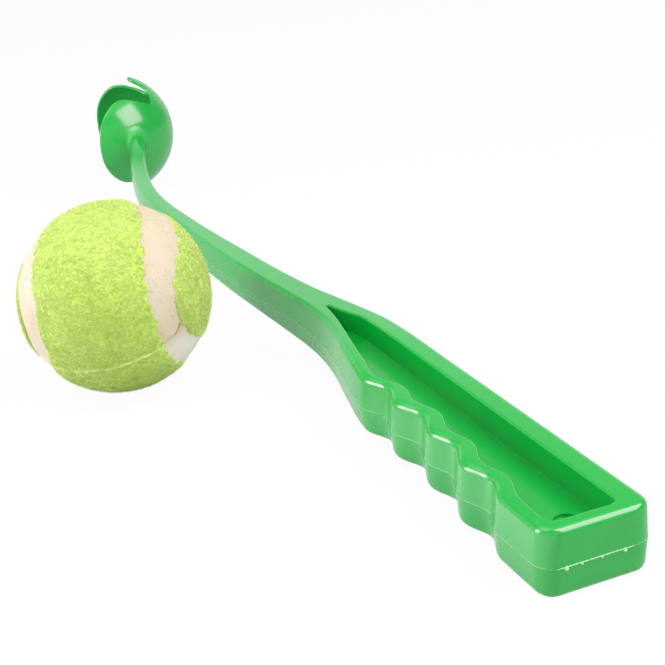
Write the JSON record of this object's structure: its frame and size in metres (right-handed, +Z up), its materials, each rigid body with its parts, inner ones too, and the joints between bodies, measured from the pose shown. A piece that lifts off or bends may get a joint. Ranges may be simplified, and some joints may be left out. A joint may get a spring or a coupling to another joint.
{
  "type": "tennis ball launcher",
  "caption": "Curved plastic throwing arm with a slotted spring cup for the ball, a finger-grip handle cored from both faces and a hanging hole, with its felt-covered ball.",
  "frame": {"origin": "on the surface that the part lies on, under the middle of the whole part", "axes": "+X along the launcher from the handle to the cup, +Y towards the finger side, the ball and the mouth of the cup, +Z up from the surface that the part lies on"},
  "size_m": [0.5208, 0.143, 0.0639],
  "materials": {
    "launcher_plastic": "glossy bright green moulded plastic, smooth, with a fine parting line",
    "ball_felt": "fuzzy yellow-green felt",
    "seam_cement": "smooth cream cement seam, matt",
    "core_rubber": "matt black rubber"
  },
  "bodies": {
    "launcher": {"launcher_moulding": "launcher_plastic"},
    "ball": {"ball_felt_panel_a": "ball_felt", "ball_felt_panel_b": "ball_felt", "ball_seam": "seam_cement", "ball_core_half_a": "core_rubber", "ball_core_half_b": "core_rubber"}
  },
  "joints": [
    {"name": "ball_lift", "type": "slide", "parent": "launcher", "child": "ball", "axis": [0, 0, 1], "range_m": [0, 0.12]}
  ]
}
